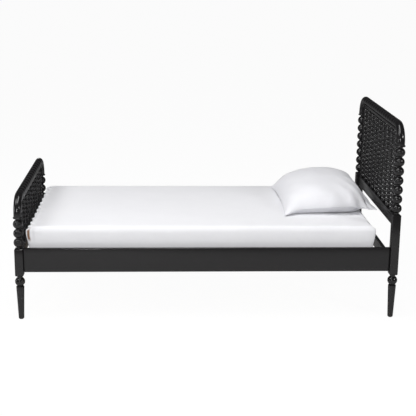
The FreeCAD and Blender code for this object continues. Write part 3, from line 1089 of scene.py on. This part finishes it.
foot_reach = block_end(-1) - mattress_low.x + 19 * mm
head_reach = mattress_high.x - block_end(1) + 16 * mm
pockets = {
    # end: place, pocket's reach and side bulge, crease's place, half width and depth
    -1: (mattress_low.x, foot_reach, 6 * mm, 34 * mm, 16 * mm, 5 * mm),
    1: (mattress_high.x, head_reach, 0, 8 * mm, 12 * mm, 9 * mm),
}


def pocketed(point):
    """The corner pockets stand out at the ends, with a crease beside them."""
    sign = -1 if point.x < 0 else 1
    end, reach, bulge, crease_place, crease_half, crease_depth = pockets[sign]
    from_end = sign * (end - point.x)
    corner = 1 - smooth_step((mattress_high.y - abs(point.y)) / pocket_width)
    corner *= smooth_step((point.z - pocket_low) / pocket_rise)
    pocket = corner * (1 - smooth_step(from_end / pocket_width))
    crease = corner * hump(from_end, crease_place, crease_half)
    point.x += sign * reach * pocket
    point.y += math.copysign(1, point.y) * (bulge * pocket - crease_depth * crease)
    return point


# %% Move the sheet's points, and mark the strip of painted shade in the foot corner's fold
level_step = 8 * mm
strip_in = 13 * mm
strip_half = 10 * mm
# Height and half height of the painted shade in the corner fold.
painted_shade_height = 468 * mm
painted_shade_half = 44 * mm

for point in mattress.data.vertices:
    point.co = pocketed(gathered(crowned(point.co)))
smooth(mattress, 80)

near_side = {
    point.index: point.co.copy() for point in mattress.data.vertices if point.co.y < -440 * mm
}
foot_outline = {}
for place in near_side.values():
    level = round(place.z / level_step)
    foot_outline[level] = min(foot_outline.get(level, 0), place.x)
# Painted shade: a dark strip just inside the foot corner's outline, for the shaded inside of the
# sheet's fold.
painted_shade = mattress.data.attributes.new("painted fold shade", "FLOAT", "POINT")
for index, place in near_side.items():
    from_outline = place.x - foot_outline[round(place.z / level_step)]
    strip = min(1, 1.6 * hump(from_outline, strip_in, strip_half))
    painted_shade.data[index].value = strip * min(1, 2 * hump(place.z, painted_shade_height, painted_shade_half))
print("gathered every", gather_pitch, "pockets out", round(foot_reach, 4), round(head_reach, 4))

# %% [markdown]
# ## Pillow
#
# A pillow is two layers of cloth sewn round their edge and filled. The start is a
# flat bag of two grids. Each of its points is moved to where a filled pillow has
# it: steep near the seams, flat on top, drawn out to ears at the foot side's
# corners, and pressed flat below. Cloth pressure then blows the bag up a little.

# %% A bag in the shape of a filled pillow
pillow_low, pillow_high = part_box("pillow")
rest_z = pillow_low.z + 0.2 * mm
pillow_top = pillow_high.z - 2 * mm
body_low_x = pillow_low.x - 29 * mm
body_high_x = pillow_high.x - 19 * mm
body_x = (body_low_x + body_high_x) / 2
half_x = (body_high_x - body_low_x) / 2
seam_gap = 1.5 * mm


def filled(along_x, along_y, upper):
    """Where a point of the bag goes. The first two numbers run from -1 to 1."""
    u, v = math.sin(math.pi / 2 * along_x), math.sin(math.pi / 2 * along_y)
    to_foot = smooth_step((-u - 0.6) / 0.4)
    to_head = smooth_step((u - 0.5) / 0.5)
    corner = smooth_step((abs(u * v) - 0.5) / 0.5)

    # The outline: narrower at the head side, and drawn in between the corners.
    near = pillow_low.y + (40 * to_head - 32 * to_foot) * mm
    far = pillow_high.y - (10 + 12 * to_head - 7 * to_foot) * mm
    half_y = (far - near) / 2
    x = body_x + half_x * u - math.copysign(14 * mm * (1 - v * v) * abs(u) ** 3, u)
    y = (near + far) / 2 + half_y * v

    # The seam: higher at the head side, and lower at the corners.
    corner_drop = 10 if u < 0 else 34
    seam_z = rest_z + (42 + 15 * u - 12 * to_foot - corner * corner_drop) * mm
    if upper:
        profile_x = (1 - abs(u) ** 2.1) ** 0.62 if u < 0 else (1 - abs(u) ** 3.2) ** 0.5
        fullness = profile_x * (1 - abs(v) ** 2.5) ** 0.5 * (1 - 0.35 * corner)
        return Vector((x, y, seam_z + (pillow_top - seam_z) * fullness))
    from_seam = min((1 - abs(u)) * half_x, (1 - abs(v)) * half_y)
    raised = 1 - smooth_step(from_seam / ((58 + 28 * u) * mm))
    return Vector((x, y, rest_z + (seam_z - rest_z) * raised))


bpy.ops.mesh.primitive_grid_add(x_subdivisions=44, y_subdivisions=60, size=2)
pillow = named("pillow_in_case")
edit(pillow)
bpy.ops.mesh.extrude_region_move(TRANSFORM_OT_translate={"value": (0, 0, -1)})
stop_editing()
for point in pillow.data.vertices:
    upper = point.co.z > -0.5
    apart = Vector((0, 0, seam_gap if upper else -seam_gap))
    point.co = filled(point.co.x, point.co.y, upper) + apart
face_outwards(pillow)
print("pillow", [round(value, 3) for value in pillow.dimensions])

# %% [markdown]
# The case is not quite smooth. Small tucks run in from the seam, where the stitches
# hold the cloth short, and the filling leaves broad, shallow dents.

# %% Blow it up, then tucks and dents
tuck_depth = 0.9 * mm
dent_depth = 5 * mm
dent_start = 60 * mm

swell(pillow, 5 * mm, 12)


def tucked(point):
    """Push a point of the upper side in where a tuck or a dent is."""
    seams = (
        (point.y - pillow_low.y, point.x, 70 * mm),
        (point.x - body_low_x, point.y, 60 * mm),
        (body_high_x - point.x, point.y, 50 * mm),
    )
    tucks = 0.0
    for from_seam, place, reach in seams:
        ripple = math.sin(place * 170) + 0.8 * math.sin(place * 263 + 1.3)
        ripple += 0.7 * math.sin(place * 411 + 0.4)
        tucks += ripple * hump(from_seam, 14 * mm, reach)
    broad = noise_at((point.x * 6, point.y * 5, 3.7))
    small = noise_at((point.x * 13 + point.y * 7, point.y * 9, 1.1))
    height = point.z - rest_z
    tuck_share = min(1, height / dent_start)
    dent_share = smooth_step((height - dent_start) / dent_start)
    point.z += tuck_depth * tucks * tuck_share + dent_depth * (broad + 0.5 * small) * dent_share
    return point


for point in pillow.data.vertices:
    if point.co.z > rest_z + 30 * mm:
        point.co = tucked(point.co)
    point.co.z = max(point.co.z, rest_z)
subdivided(pillow, 2)
for point in pillow.data.vertices:
    point.co.z = max(point.co.z, rest_z)
smooth(pillow, 80)
print("pillow faces:", len(pillow.data.polygons))

# %% [markdown]
# ## Hem of the pillowcase
#
# The case is longer than the pillow. Its open end lies towards the headboard as a
# double layer of cloth with a turned hem. It is a grid whose inner edge follows the
# pillow's seam and whose outer edge waves and droops. Solidify makes the layers.

# %% Pillowcase hem
hem_rows = 60
hem_edge = pillow_high.x + 26 * mm
hem_overlap = 7 * mm
hem_share = 0.985
hem_thickness = 3.5 * mm
hem_end_height = 14 * mm
seam_line = [filled(1, 2 * row / hem_rows - 1, True) for row in range(hem_rows + 1)]

bpy.ops.mesh.primitive_grid_add(x_subdivisions=14, y_subdivisions=hem_rows, size=1)
hem = named("pillowcase_hem")
for point in hem.data.vertices:
    outward, sideways = point.co.x + 0.5, point.co.y + 0.5
    seam = seam_line[round(sideways * hem_rows)]
    inner_x = seam.x - hem_overlap
    outer_x = hem_edge + 3 * mm * math.sin(sideways * 9)
    wave = 5 * mm * math.sin(sideways * 13 + 0.6) + 2 * mm * math.sin(sideways * 31)
    droop = seam.z - rest_z - hem_end_height
    z = seam.z + wave * outward**1.5 - droop * outward**1.4
    point.co = (inner_x + (outer_x - inner_x) * outward, seam.y * hem_share, z)
solid(hem, hem_thickness, 0)
ease(hem, 1.5 * mm, 2, 60)
smooth(hem, 60)

# %% [markdown]
# ## Assembly
#
# Each new piece takes the place of its frame piece, rides on the body that carries
# it, and gets its finish.

# %% Replace, ride and finish
def set_material(piece, material):
    piece.data.materials.clear()
    piece.data.materials.append(material)


def fit(piece, node_name, body, material):
    set_material(piece, material)
    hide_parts(node_name)
    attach(piece, body)


for node_name, piece in painted.items():
    if "side_rail" in node_name:
        finish = lengthwise_paint
    elif "panel_rail" in node_name or "lower_rail" in node_name or "top_" in node_name:
        finish = crosswise_paint
    else:
        finish = upright_paint
    fit(piece, node_name, "bed_frame", finish)
for node_name, piece in bare.items():
    fit(piece, node_name, "bed_frame", bare_wood)
fit(tapes, "slat_tapes", "bed_frame", tape_cotton)
fit(bolts, "rail_bolts", "bed_frame", zinc)
fit(nuts, "rail_barrel_nuts", "bed_frame", zinc)
fit(plugs, "headboard_hole_plugs", "bed_frame", plug_plastic)
fit(glides, "floor_glides", "bed_frame", glide_plastic)
fit(mattress, "mattress", "mattress", sheet_cotton)
fit(pillow, "pillow", "pillow", case_cotton)
set_material(hem, case_cotton)
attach(hem, "pillow")

# %% [markdown]
# ## Floor and light
#
# The bed stands on a plain floor in a white surround. The camera sees both nearly
# pure white, but the floor keeps a soft shadow under the bed. Black paint shows
# little more than what it mirrors. So floor and surround are dim in a mirrored
# view, and the lamps stand out as small highlights on the balls.

# %% Floor
def ray_mask(tree, mirrored):
    """1 for rays from the camera or through glass, less for mirrored ones."""
    path = node(tree, "LightPath", {})
    mirrored_rays = combined(tree, "MULTIPLY", path["Is Glossy Ray"], mirrored)
    total = combined(tree, "ADD", path["Is Camera Ray"], mirrored_rays)
    total = combined(tree, "ADD", total, path["Is Transmission Ray"])
    return combined(tree, "MINIMUM", total, 1.0)


seen_white_share = 0.94
floor_in_mirror = 0.15
bpy.ops.mesh.primitive_plane_add(size=300, location=(0, 0, 0))
floor = named("floor")
floor_material = bpy.data.materials.new("white floor")
floor_material.use_nodes = True
tree = floor_material.node_tree
tree.nodes.clear()
white_share = combined(tree, "MULTIPLY", ray_mask(tree, floor_in_mirror), seen_white_share)
lit = node(tree, "BsdfDiffuse", {"Color": (0.80, 0.80, 0.80, 1)})[0]
seen = node(tree, "Emission", {"Color": (1, 1, 1, 1), "Strength": 1.02})[0]
mixed = node(tree, "MixShader", {"Fac": white_share, 1: lit, 2: seen})[0]
node(tree, "OutputMaterial", {"Surface": mixed})
set_material(floor, floor_material)
print("floor seen", seen_white_share, "white")

# %% Lamps
lamps = {
    # name: (place, aimed at, size, power)
    "key light": ((-3.2, -1.4, 3.6), (0.3, 0, 0.5), (1.9, 1.6), 62.0),
    "right light": ((3.5, -3.1, 2.6), (0.8, -0.3, 0.6), (0.5, 0.8), 60.0),
    "front light": ((-1.9, -5.2, 2.0), (-0.3, 0, 0.5), (0.35, 1.2), 82.0),
    "foot light": ((-4.2, -0.4, 0.9), (-0.9, 0, 0.5), (0.4, 1.0), 14.0),
    "top light": ((-0.4, -1.0, 4.1), (-0.1, 0, 0.5), (1.2, 3.0), 100.0),
}
for name, (place, target, size, power) in lamps.items():
    lamp_data = bpy.data.lights.new(name, "AREA")
    lamp_data.shape = "RECTANGLE"
    lamp_data.size, lamp_data.size_y = size
    lamp_data.energy = power
    lamp = bpy.data.objects.new(name, lamp_data)
    scene.collection.objects.link(lamp)
    lamp.location = place
    lamp.rotation_euler = (Vector(target) - Vector(place)).to_track_quat("-Z", "Y").to_euler()
print("lights:", list(lamps))

# %% White surround
surround_light = 0.1
surround_in_mirror = 0.02
world = bpy.data.worlds.new("white surround")
scene.world = world
world.use_nodes = True
tree = world.node_tree
tree.nodes.clear()
seen_white = combined(tree, "MULTIPLY", ray_mask(tree, surround_in_mirror), 1 - surround_light)
strength = combined(tree, "ADD", seen_white, surround_light)
surround = node(tree, "Background", {"Color": (1, 1, 1, 1), "Strength": strength})[0]
node(tree, "OutputWorld", {"Surface": surround})
scene.view_settings.view_transform = "Standard"
print("surround gives", surround_light, "of its light")
